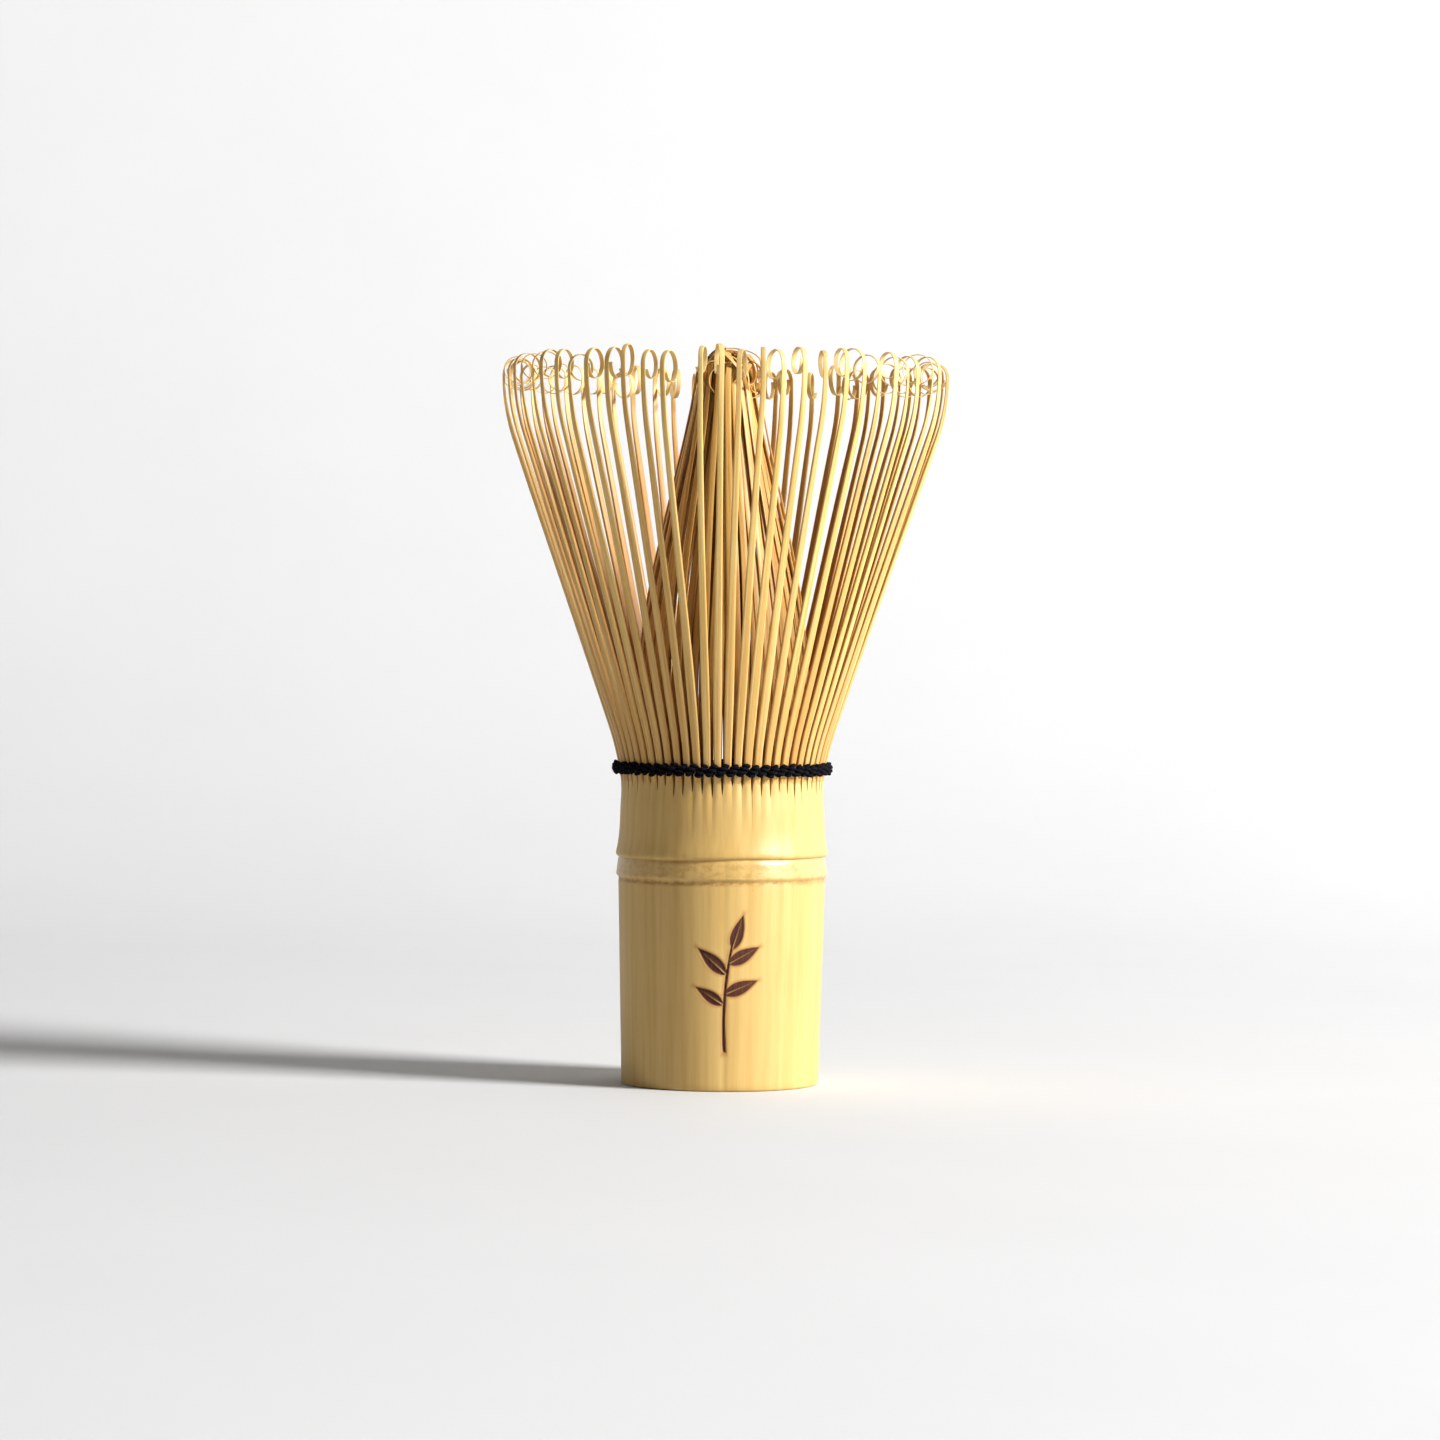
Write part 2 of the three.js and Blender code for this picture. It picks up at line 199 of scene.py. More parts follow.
class Finish:
    """A material built node by node."""

    def __init__(self, name):
        self.material = bpy.data.materials.new(name)
        self.material.use_nodes = True
        self.tree = self.material.node_tree
        self.tree.nodes.clear()

    def node(self, kind, settings=None, sockets=None, output=0):
        """A node of that type. Settings are set first, then the sockets' values or links."""
        made = self.tree.nodes.new(kind)
        for key, value in (settings or {}).items():
            setattr(made, key, value)
        for key, value in (sockets or {}).items():
            if isinstance(value, Value):
                self.tree.links.new(value.socket, made.inputs[key])
            else:
                made.inputs[key].default_value = value
        return Value(self, made.outputs[output]) if made.outputs else None

    def place(self, stretch):
        """The object's own coordinates, in millimetres, with each axis multiplied by stretch."""
        spot = self.node("ShaderNodeTexCoord", output=3)
        scale = [METRE * s for s in stretch]
        return self.node("ShaderNodeVectorMath", {"operation": "MULTIPLY"}, {0: spot, 1: scale})

    def grain_place(self, across, along):
        """The piece's own grain: millimetres across and along the strip, and the strip's number."""
        spot = self.node("ShaderNodeAttribute", {"attribute_name": "grain"}, output=1)
        return self.node("ShaderNodeVectorMath", {"operation": "MULTIPLY"}, {0: spot, 1: (across, along, 7.3)})

    def attribute(self, name):
        return self.node("ShaderNodeAttribute", {"attribute_name": name}, output=2)

    def noise(self, where, scale, detail=3.0, roughness=0.5):
        return self.node(
            "ShaderNodeTexNoise", {}, {"Vector": where, "Scale": scale, "Detail": detail, "Roughness": roughness}
        )

    def ramp(self, value, low, high):
        """0 below low, 1 above high, and a smooth step between."""
        return self.node(
            "ShaderNodeMapRange",
            {"interpolation_type": "SMOOTHSTEP"},
            {"Value": value, "From Min": low, "From Max": high},
        )

    def mix(self, share, first, second):
        """A colour between two: the first where share is 0, the second where it is 1."""
        return self.node(
            "ShaderNodeMix", {"data_type": "RGBA"}, {0: share, 6: self.opaque(first), 7: self.opaque(second)}, 2
        )

    @staticmethod
    def opaque(colour):
        return colour if isinstance(colour, Value) else (*colour, 1.0)

    def bump(self, height, distance, strength=1.0):
        """Bumps of a height from 0 to 1, as deep as distance in millimetres."""
        return self.node(
            "ShaderNodeBump", {}, {"Height": height, "Distance": distance / METRE, "Strength": strength}
        )

    def done(self, **sockets):
        """Closes the material with a Principled shader that has these sockets."""
        shader = self.node("ShaderNodeBsdfPrincipled", {}, {k.replace("_", " "): v for k, v in sockets.items()})
        self.node("ShaderNodeOutputMaterial", {}, {"Surface": shader})
        return self.material


def bamboo_skin():
    """The culm's polished skin: straw, with fibres up its length, blotches, and browned where it is burned."""
    f = Finish("bamboo_skin")
    fine = f.noise(f.place((6.0, 6.0, 0.16)), 1.0, 4.0, 0.6)
    broad = f.noise(f.place((0.9, 0.9, 0.03)), 1.0, 3.0)
    cloud = f.noise(f.place((0.12, 0.12, 0.1)), 1.0, 3.0)
    speck = f.noise(f.place((3.2, 3.2, 1.1)), 1.0, 2.0)
    height = f.node("ShaderNodeSeparateXYZ", {}, {0: f.place((1, 1, 1))}, 2)
    colour = f.mix(f.ramp(broad, 0.3, 0.7), (0.61, 0.42, 0.16), (0.54, 0.352, 0.118))
    colour = f.mix(f.ramp(fine, 0.5, 0.8) * 0.3, colour, (0.50, 0.28, 0.09))
    colour = f.mix(f.ramp(cloud, 0.4, 0.75) * 0.4, colour, (0.63, 0.42, 0.15))
    colour = f.mix(f.ramp(speck, 0.71, 0.79) * 0.3, colour, (0.28, 0.14, 0.04))
    mottle = f.noise(f.place((0.9, 0.9, 1.6)), 1.0, 4.0, 0.65)
    band = f.ramp(height, 28.9, 29.5) * (1 - f.ramp(height, 31.5, 32.2))
    # Painted shade: the crease under the node's ring is darkened all round, with mottled root-scar dots darker on
    # top of it.
    crease = f.ramp(height, 28.1, 28.6) * (1 - f.ramp(height, 28.75, 29.25))
    colour = f.mix(crease * (0.25 + f.ramp(mottle, 0.4, 0.6) * 0.5), colour, (0.33, 0.17, 0.04))
    colour = f.mix(band * f.ramp(mottle, 0.46, 0.66) * 0.45, colour, (0.40, 0.22, 0.06))
    scorch = f.attribute("scorch")
    burn = f.attribute("burn")
    colour = f.mix(scorch * 0.6, colour, (0.34, 0.13, 0.035))
    char = f.mix(f.ramp(fine, 0.3, 0.7), (0.05, 0.013, 0.005), (0.12, 0.034, 0.012))
    colour = f.mix(burn, colour, f.mix(f.ramp(burn, 0.35, 0.95), (0.03, 0.008, 0.004), char))
    rough = 0.38 + f.ramp(cloud, 0.3, 0.7) * 0.1 + burn * 0.3 - band * 0.08
    bumps = f.bump(fine * 0.5 + broad * 0.3 + speck * 0.2, 0.05, 0.5)
    return f.done(Base_Color=colour, Roughness=rough, Normal=bumps, Coat_Weight=band * 0.5, Coat_Roughness=0.3)


def shaved_bamboo(name, pale, warm, dark, root_shade, tip_paleness):
    """Shaved strips: fibres along each strip, each strip its own shade, darkened at the root as painted shade,
    paler at the tip.
    """
    f = Finish(name)
    fibre = f.noise(f.grain_place(9.0, 0.12), 1.0, 3.0, 0.6)
    vein = f.noise(f.grain_place(2.6, 0.035), 1.0, 2.0)
    patch = f.noise(f.grain_place(0.15, 0.05), 1.0, 2.0)
    climb = f.attribute("climb")
    shade = f.attribute("shade")
    skin_side = f.attribute("skin_side")
    colour = f.mix(f.ramp(vein, 0.35, 0.65), pale, warm)
    colour = f.mix(f.ramp(fibre, 0.5, 0.8) * 0.45, colour, dark)
    colour = f.mix(shade * 0.45, colour, dark)
    colour = f.mix(f.ramp(patch, 0.5, 0.8) * 0.3, colour, warm)
    # Painted shade: each strip darkens towards its root at the thread, by as much as root_shade.
    colour = f.mix((1 - f.ramp(climb, 0.0, 0.5)) * root_shade, colour, dark)
    colour = f.mix((1 - skin_side) * (1 - f.ramp(climb, 0.7, 0.85)) * 0.55, colour, dark)
    colour = f.mix(f.ramp(climb, 0.72, 0.95) * tip_paleness, colour, (0.86, 0.72, 0.42))
    rough = 0.42 + f.ramp(vein, 0.3, 0.7) * 0.14
    bumps = f.bump(fibre, 0.03, 0.7)
    return f.done(
        Base_Color=colour,
        Roughness=rough,
        Normal=bumps,
        Subsurface_Weight=0.12,
        Subsurface_Radius=(0.9, 0.5, 0.18),
        Subsurface_Scale=0.0006,
    )


def cotton():
    """Dark navy cotton: matt, with the fibres of each yarn winding round it."""
    f = Finish("dark_cotton")
    twist = f.noise(f.grain_place(1.6, 5.0), 1.0, 3.0, 0.7)
    colour = f.mix(f.ramp(twist, 0.4, 0.75), (0.0008, 0.0008, 0.0028), (0.004, 0.004, 0.013))
    return f.done(
        Base_Color=colour,
        Roughness=0.9,
        Specular_IOR_Level=0.25,
        Normal=f.bump(twist, 0.06, 0.8),
        Sheen_Weight=0.03,
        Sheen_Roughness=0.5,
        Sheen_Tint=(0.25, 0.28, 0.5, 1.0),
    )


def pale_paper():
    """The floor and backdrop: plain and near white, with the faintest mottle."""
    f = Finish("pale_paper")
    mottle = f.noise(f.place((0.02, 0.02, 0.02)), 1.0, 3.0)
    colour = f.mix(mottle, (0.64, 0.64, 0.64), (0.67, 0.67, 0.67))
    return f.done(Base_Color=colour, Roughness=0.8)


# ------------------------------------------------------------------ meshes
def ring_quads(rows, columns, closed=False):
    """Quads between rows of rings. The rows join up too when closed is true."""
    last = rows if closed else rows - 1
    r, c = np.meshgrid(np.arange(last), np.arange(columns), indexing="ij")
    below, above = r * columns, (r + 1) % rows * columns
    beside = (c + 1) % columns
    return np.stack([below + c, below + beside, above + beside, above + c], -1).reshape(-1, 4)


def make_piece(name, points, faces, material, attributes=None, sharp=None):
    """A mesh object in metres from points in millimetres, with values stored at its points."""
    mesh = bpy.data.meshes.new(name)
    mesh.from_pydata((np.asarray(points).reshape(-1, 3) / METRE).tolist(), [], faces)
    for key, values in (attributes or {}).items():
        kind = "FLOAT_VECTOR" if np.ndim(values) > 1 else "FLOAT"
        layer = mesh.attributes.new(key, kind, "POINT")
        field = "vector" if kind == "FLOAT_VECTOR" else "value"
        layer.data.foreach_set(field, np.asarray(values, np.float32).ravel())
    mesh.shade_smooth()
    if sharp:
        mesh.set_sharp_from_angle(angle=sharp)
    mesh.materials.append(material)
    piece = bpy.data.objects.new(name, mesh)
    bpy.context.scene.collection.objects.link(piece)
    return piece


def tubes(centres, side_a, side_b, section, scale_a, scale_b):
    """
    Tubes carried along paths, as points of shape (tubes, stations, sides, 3): each point is the centre, plus
    side_a times the section's first number and scale_a, plus side_b times its second number and scale_b.
    """
    a = (scale_a[..., None] * section[:, 0])[..., None] * side_a[:, :, None, :]
    b = (scale_b[..., None] * section[:, 1])[..., None] * side_b[:, :, None, :]
    return centres[:, :, None, :] + a + b


def tube_faces(count, stations, sides, closed=False):
    """The faces of several tubes: quads round each, and a flat end on each unless it is a ring."""
    quads = ring_quads(stations, sides, closed)
    step = stations * sides
    faces = (quads[None] + np.arange(count)[:, None, None] * step).reshape(-1, 4).tolist()
    if not closed:
        for first in range(0, count * step, step):
            faces.append(list(range(first + sides - 1, first - 1, -1)))
            faces.append(list(range(first + step - sides, first + step)))
    return faces


def soft_square(sides, power):
    """A section between a circle and a square: cos and sin of the angle, each to the power given."""
    angle = (np.arange(sides) + 0.5) * 2 * math.pi / sides
    wave = np.stack([np.cos(angle), np.sin(angle)], -1)
    return np.sign(wave) * np.abs(wave) ** power


# ------------------------------------------------------------------ the culm
def handle_radius(height):
    """The handle's outline: a straight taper, then the node's ring with a crease under it, and the glossy band
    that slopes in from the ring to the groove under the sheath ring."""
    taper = FOOT_RADIUS + (CULM_RADIUS - FOOT_RADIUS) * np.clip(height / HANDLE_LENGTH, 0, 1)
    crease = 0.06 * np.exp(-(((height - NODE_RING_Z + 0.55) / 0.2) ** 2))
    band = np.clip((height - NODE_RING_Z - 0.15) / (LIP_Z - NODE_RING_Z), 0, 1)
    ring = 0.33 * ease((height - NODE_RING_Z + 0.4) / 0.5) * (1 - band)
    groove = 0.1 * np.exp(-(((height - LIP_Z) / 0.25) ** 2))
    return taper - crease + ring - groove


def leaf(x, z, root, heading, length, half_width):
    """How far inside a leaf each point is, in millimetres: the leaf's half width there, less the distance
    from its midrib. The half width is a sine of the share of its length, leaning to the root."""
    along = (x - root[0]) * math.sin(heading) + (z - root[1]) * math.cos(heading)
    aside = (x - root[0]) * math.cos(heading) - (z - root[1]) * math.sin(heading)
    share = np.clip(along / length, 0, 1)
    width = half_width * np.sin(math.pi * share**0.75)
    inside = width - np.abs(aside)
    inside = np.minimum(inside, np.minimum(along, length - along) * 0.5)
    return np.minimum(inside, np.abs(aside) - 0.09 + 0.12 * share)


def sprig(x, z):
    """A burned sprig, as the distance inside it: a bowed stem and five leaves."""
    stem_height = np.clip((z - 5.5) / 15.0, 0, 1)
    bow = 0.6 + 2.2 * stem_height**2 - 1.2 * stem_height
    stem = 0.22 - 0.08 * stem_height - np.abs(x - bow)
    stem = np.minimum(stem, np.minimum(z - 5.5, 20.0 - z) * 0.5)
    leaves = [
        ((1.55, 19.6), 18, 5.0, 0.85),
        ((0.75, 16.2), -48, 5.4, 0.95),
        ((1.0, 17.6), 62, 5.0, 0.9),
        ((0.35, 12.0), -58, 4.6, 0.8),
        ((0.45, 13.4), 68, 5.2, 0.9),
    ]
    inside = stem
    for root, heading, length, half_width in leaves:
        inside = np.maximum(inside, leaf(x, z, root, math.radians(heading), length, half_width))
    return inside


def make_handle(material):
    """The culm below its sheath ring: a lathe of rings, from the diaphragm's underside out, down the bore,
    round the foot, up the skin and in over the diaphragm. The sprig is pressed into the skin."""
    front = math.radians(30)
    turns = np.concatenate([np.linspace(-front, front, 131), np.linspace(front, 2 * math.pi - front, 151)[1:-1]])
    skin = np.concatenate(
        [np.linspace(0.35, 4, 6), np.linspace(4.2, 25, 174), np.linspace(25.3, LIP_Z + 0.25, 44)]
    )
    bore_top = CULM_RADIUS - HANDLE_WALL
    inside = [
        (4.0, DIAPHRAGM_BOTTOM - 0.15),
        (bore_top - 2.0, DIAPHRAGM_BOTTOM),
        (bore_top - 0.6, DIAPHRAGM_BOTTOM - 0.6),
        (bore_top, DIAPHRAGM_BOTTOM - 2.0),
        (bore_top - 0.3, 12.0),
        (FOOT_RADIUS - HANDLE_WALL, 0.25),
        (FOOT_RADIUS - HANDLE_WALL + 0.2, 0.0),
        (FOOT_RADIUS - 0.32, 0.0),
        (FOOT_RADIUS - 0.08, 0.1),
    ]
    over = [(13.6, LIP_Z + 0.3), (COLLAR_BORE - 0.2, LIP_Z + 0.3), (COLLAR_BORE - 0.5, 30.9), (9.0, DIAPHRAGM_TOP)]
    radii = np.concatenate([[r for r, _ in inside], handle_radius(skin), [r for r, _ in over]])
    heights = np.concatenate([[z for _, z in inside], skin, [z for _, z in over]])
    on_skin = np.zeros(len(radii))
    on_skin[len(inside) : len(inside) + len(skin)] = 1
    turn, height = np.meshgrid(turns, heights)
    depth_in = sprig(turn * CULM_RADIUS, height)
    burn = ease(depth_in / 0.13 + 0.5) * on_skin[:, None]
    scorch = ease(depth_in / 0.5 + 1.0) * on_skin[:, None]
    uneven = 0.05 * np.sin(2 * turn + 0.7) + 0.03 * np.sin(3 * turn + 2.0 + 0.05 * height)
    seam_line = 0.05 * np.exp(-(((turn - 0.03) * CULM_RADIUS / 0.5) ** 2))
    radius = radii[:, None] + (uneven - seam_line - 0.16 * burn) * on_skin[:, None]
    rows, columns = turn.shape
    poles = [(0, 0, DIAPHRAGM_BOTTOM - 0.2), (0, 0, DIAPHRAGM_TOP)]
    points = np.concatenate([around(radius, turn, height).reshape(-1, 3), poles])
    faces = ring_quads(rows, columns).tolist()
    below, above = rows * columns, rows * columns + 1
    last = (rows - 1) * columns
    faces += [[below, (c + 1) % columns, c] for c in range(columns)]
    faces += [[above, last + c, last + (c + 1) % columns] for c in range(columns)]
    ends = np.zeros(2)
    marks = {"burn": np.append(burn.ravel(), ends), "scorch": np.append(scorch.ravel(), ends)}
    piece = make_piece("bamboo_handle", points, faces, material, marks, sharp=math.radians(50))
    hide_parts("handle_culm")
    return piece


def make_collar(material):
    """The culm above its sheath ring, where the splits start. Each pitch of the ring has a tine's face and
    half of the slit on each side. A slit opens as a V, a power of the height above its foot, and a shallow
    flute, a bell curve across the slit, runs on below it and fades."""
    face_columns = np.linspace(0, 1, 9)
    gap = np.arange(TINES + 1)
    wrapped = gap % TINES
    slit_foot = THREAD_Z - 3.0 - 0.8 * scatter(wrapped, 11)
    crack_foot = np.where(scatter(wrapped, 12) > 0.86, slit_foot - 2.6, slit_foot)
    flute = 0.1 + 0.08 * (1 + scatter(wrapped, 13))
    flute_length = 8 + 3 * scatter(wrapped, 14)
    heights = np.concatenate(
        [[0, 0.12, 0.3, 0.55, 0.9, 1.4], np.linspace(2.1, 7.4, 10), np.linspace(7.8, THREAD_Z - LIP_Z, 40)]
    )
    lip_wave = lambda turn: 0.14 * np.sin(turn + 0.4) + 0.07 * np.sin(3 * turn + 1.0) + 0.03 * np.sin(7 * turn)
    outline = [
        (LIP_Z, 14.42), (LIP_Z + 0.15, 14.72), (LIP_Z + 0.5, 14.86), (LIP_Z + 1.2, 14.74), (LIP_Z + 2.6, 14.52),
        (LIP_Z + 7.0, 14.3), (LIP_Z + 9.9, 14.2), (LIP_Z + 11.6, 14.3), (THREAD_Z, 14.52),
    ]
    level = heights[:, None] + LIP_Z
    opened = np.clip((level - slit_foot) / (THREAD_Z - slit_foot), 0, 1)
    cracked = ease((level - crack_foot) / 1.5) * (crack_foot < slit_foot)
    half_gap = HAIRLINE + np.maximum(opened**0.7 * SLIT_GAP / 2, 0.025 * cracked)
    deep = np.maximum(SLIT_DEPTH * ease((level - slit_foot) / 0.7), 0.3 * cracked)
    fade = np.clip(1 - (THREAD_Z - level) / flute_length, 0, 1) ** 1.5
    left, right = half_gap[:, :-1, None] / COLLAR_RADIUS, half_gap[:, 1:, None] / COLLAR_RADIUS
    face = gap[:-1, None] * PITCH + left + (PITCH - left - right) * face_columns
    floor_left = gap[:-1, None] * PITCH + 0.6 * left
    floor_right = gap[1:, None] * PITCH - 0.6 * right
    turn = np.concatenate([floor_left, face, floor_right], axis=2)
    base = curve_through(outline, level)[:, :, None]
    from_left = (turn - gap[:-1, None] * PITCH) * COLLAR_RADIUS
    from_right = (gap[1:, None] * PITCH - turn) * COLLAR_RADIUS
    hollow = (flute * fade)[:, :-1, None] * np.exp(-((from_left / 0.38) ** 2))
    hollow = hollow + (flute * fade)[:, 1:, None] * np.exp(-((from_right / 0.38) ** 2))
    facet = 0.05 * scatter(gap[:-1], 15)[:, None] * (from_left - from_right) * fade[:, :-1, None]
    radius = base - hollow + facet
    radius[:, :, 0] -= deep[:, :-1]
    radius[:, :, -1] -= deep[:, 1:]
    columns = turn.shape[1] * turn.shape[2]
    turn, radius = turn.reshape(-1, columns), radius.reshape(-1, columns)
    height = np.repeat(level, columns, axis=1)
    height = height + lip_wave(turn) * (1 - ease((height - LIP_Z) / 4))
    uneven = 0.05 * np.sin(2 * turn + 0.7) + 0.03 * np.sin(3 * turn + 3.5)
    radius = radius + uneven * (1 - ease((height - 40) / 3))
    outer = around(radius, turn, height)
    top = turn[-1]
    inner = [
        (CULM_RADIUS - SKIN_LAYER, THREAD_Z - 0.05), (CULM_RADIUS - SKIN_LAYER - 0.1, THREAD_Z - 1.3),
        (12.45, THREAD_Z - 1.3), (12.4, THREAD_Z - 0.5), (COLLAR_BORE + 0.1, THREAD_Z - 0.45),
        (COLLAR_BORE, THREAD_Z - 0.8), (COLLAR_BORE, 38.0), (COLLAR_BORE, 31.2), (13.4, LIP_Z + 0.1),
    ]
    inside = [around(r, top, z) for r, z in inner]
    rings = np.concatenate([outer, np.stack(inside)])
    rows = len(rings)
    faces = ring_quads(rows, columns, closed=True).tolist()
    plain = np.zeros(rows * columns)
    marks = {"burn": plain, "scorch": plain}
    return make_piece("split_collar", rings, faces, material, marks, sharp=math.radians(42))


# ------------------------------------------------------------------ the tines
def walk(radius, height, lengths, leans, steps):
    """A strip's line in its upright plane. The lean changes evenly along each stretch, and the radius and
    the height are running sums of each chord times the sine and the cosine of its middle lean."""
    marks = np.concatenate([[0], np.cumsum(lengths)])
    stretches = [np.linspace(marks[i], marks[i + 1], n + 1)[1:] for i, n in enumerate(steps)]
    along = np.concatenate([[0], *stretches])
    lean = np.interp(along, marks, leans)
    middle = (lean[1:] + lean[:-1]) / 2
    chord = np.diff(along) * np.sinc(np.diff(lean) / 2 / math.pi)
    r = radius + np.concatenate([[0], np.cumsum(chord * np.sin(middle))])
    z = height + np.concatenate([[0], np.cumsum(chord * np.cos(middle))])
    return along, r, z, lean


def root_turn(tine):
    return (tine + 0.5) * PITCH


def drift_of(tine):
    """How far an outer tine has turned from its root at the top: its own drift, and a push from each parting
    that fades as an exponential of the turn between them."""
    drift = DRIFT * float(scatter(tine, 1))
    for parting in PARTINGS:
        away = root_turn(tine) - parting["turn"]
        away = math.atan2(math.sin(away), math.cos(away))
        drift += math.copysign(parting["push"], away) * math.exp(-abs(away) / parting["reach"])
    return drift


def towards_middle(tine):
    """The way from a tine to the middle of its own split: 1 from its first tine, -1 from its last, 0 between."""
    place = tine % TINES_PER_SPLIT
    return int(place == 0) - int(place == TINES_PER_SPLIT - 1)


def ribbon(r, z, lean, turn, plane, aside, pivot):
    """A strip's line and its two sides in space. Its upright plane is turned by plane about the upright line
    at the radius pivot, and aside moves it across itself."""
    outward = around(1.0, turn, 0.0)
    across = around(1.0, turn + math.pi / 2, 0.0)
    ahead = outward * np.cos(plane)[:, None] + across * np.sin(plane)[:, None]
    beside = across * np.cos(plane)[:, None] - outward * np.sin(plane)[:, None]
    up = np.array([0.0, 0.0, 1.0])
    line = outward * pivot + ahead * (r - pivot)[:, None] + beside * aside[:, None] + up * z[:, None]
    face = ahead * np.cos(lean)[:, None] - up * np.sin(lean)[:, None]
    return line, beside, face


def outer_tine(tine):
    """An outer tine: flared, turned upright at its shoulder, thinned, and curled into a loop whose plane is
    turned a little and which drifts aside like a turn of a spring. The first and the last tine of a split
    curl towards its middle, so that neighbouring splits stay clear of each other as they close."""
    flare_lean = FLARE_LEAN + LEAN_SPREAD * float(scatter(tine, 2))
    curl_radius = CURL_RADIUS + CURL_RADIUS_SPREAD * float(scatter(tine, 4))
    curl_turn = CURL_TURN + CURL_TURN_SPREAD * float(scatter(tine, 5))
    lengths = [
        ROOT_BEND,
        FLARE_LENGTH + LENGTH_SPREAD * float(scatter(tine, 3)),
        SHOULDER_LENGTH,
        curl_radius * curl_turn,
    ]
    leans = [ROOT_LEAN, flare_lean, flare_lean, 0.0, -curl_turn]
    along, r, z, lean = walk(COLLAR_RADIUS - 0.3, TINE_FOOT_Z, lengths, leans, [9, 12, 10, 34])
    shoulder = along[9 + 12 + 10]
    curl = np.clip((along - shoulder) / lengths[3], 0, 1)
    upright = ease((along - shoulder + SHOULDER_LENGTH) / SHOULDER_LENGTH)
    climb = np.clip((z - THREAD_Z) / (z[31] - THREAD_Z), 0, 1)
    wander = math.radians(0.45) * np.sin(climb * 5 + 3 * float(scatter(tine, 6))) * climb * (1 - climb)
    turn = root_turn(tine) + drift_of(tine) * climb + wander
    way = towards_middle(tine)
    twist = float(scatter(tine, 7))
    twist = -way * abs(twist) if way else twist
    plane = CURL_TWIST * twist * upright
    aside = (0.2 + 0.4 * abs(float(scatter(tine, 8)))) * (way or np.sign(scatter(tine, 9))) * curl
    line, beside, face = ribbon(r, z, lean, turn, plane, aside, r[31])
    length = along[-1]
    share = along / shoulder
    width = curve_through([(0, 1.0), (0.06, 1.03), (0.17, 1.18), (0.5, 0.98), (0.8, 0.8), (1, 0.68)], share)
    width = width * (1 + 0.07 * float(scatter(tine, 10))) * (1 - 0.12 * curl)
    thick = curve_through([(0, 0.58), (0.17, 0.55), (0.5, 0.45), (0.84, 0.38), (0.95, 0.2), (1, 0.15)], share)
    thick = thick * (1 - 0.45 * curl)
    return line, beside, face, width / 2, thick / 2, along, along / length


def inner_tine(tine):
    """An inner tine: up inside the outer ones, closed in on a smooth curve, and its tip curled over and
    wound aside into the knot. Each lies at its own depth in the cone, so that the strips cross over."""
    depth = ((tine * 5) % 8) / 8
    tip_radius = KNOT_RADIUS - 2.9 * depth + 0.25 * float(scatter(tine, 21))
    top = CONE_HEIGHT - 1.6 + 1.0 * float(scatter(tine, 22)) + 0.9 * depth
    side = [
        (0, 11.95), (0.12, 11.9), (0.3, 11.65 - 0.35 * depth), (0.47, 10.45 - 0.9 * depth),
        (0.66, 8.2 - 1.5 * depth), (0.86, 5.35 - 1.9 * depth + 0.3), (1.0, tip_radius),
    ]
    up = np.linspace(0, 1, CONE_STATIONS)
    r = curve_through(side, up)
    z = TINE_FOOT_Z + top * up
    lean = np.arctan2(np.gradient(r), np.gradient(z))
    stray = 8 * float(scatter(tine, 31)) * (abs(float(scatter(tine, 32))) > 0.72)
    crossing = math.radians(2 * float(scatter(tine, 23)) + stray + 3 * math.sin(2 * root_turn(tine) + 1))
    crossing = crossing * ease(up * 1.2)
    turn = root_turn(tine) + crossing + math.radians(1.5) * np.sin(7 * up + 6 * float(scatter(tine, 24))) * up
    curl_radius = 1.9 + 1.1 * abs(float(scatter(tine, 25)))
    curl_turn = TIP_TURN + TIP_TURN_SPREAD * float(scatter(tine, 26))
    curl_leans = [lean[-1], lean[-1] - curl_turn]
    tip = walk(r[-1], z[-1], [curl_radius * curl_turn], curl_leans, [TIP_STATIONS - 1])
    _, curl_r, curl_z, curl_lean = tip
    tip_share = np.linspace(0, 1, TIP_STATIONS)
    curl = np.concatenate([np.zeros(CONE_STATIONS - 1), tip_share])
    r, z = np.concatenate([r, curl_r[1:]]), np.concatenate([z, curl_z[1:]])
    lean = np.concatenate([lean, curl_lean[1:]])
    winding = TIP_WINDING * float(scatter(tine, 33))
    turn = np.concatenate([turn, turn[-1] + winding * ease(tip_share[1:])])
    plane = TIP_TWIST * float(scatter(tine, 27)) * ease(np.linspace(-5, 3, len(r)))
    aside = 1.8 * float(scatter(tine, 28)) * curl
    line, beside, face = ribbon(r, z, lean, turn, plane, aside, tip_radius)
    along = np.concatenate([[0], np.cumsum(np.linalg.norm(np.diff(line, axis=0), axis=1))])
    share = np.linspace(0, 1, len(r))
    width = curve_through([(0, 0.9), (0.12, 1.08), (0.25, 1.06), (0.42, 0.9), (0.6, 0.72), (1, 0.6)], share)
    width = width * (1 + 0.08 * float(scatter(tine, 29)))
    thick = curve_through([(0, 0.45), (0.4, 0.32), (0.6, 0.22), (1, 0.12)], share)
    return line, beside, face, width / 2, thick / 2, along, along / along[-1]


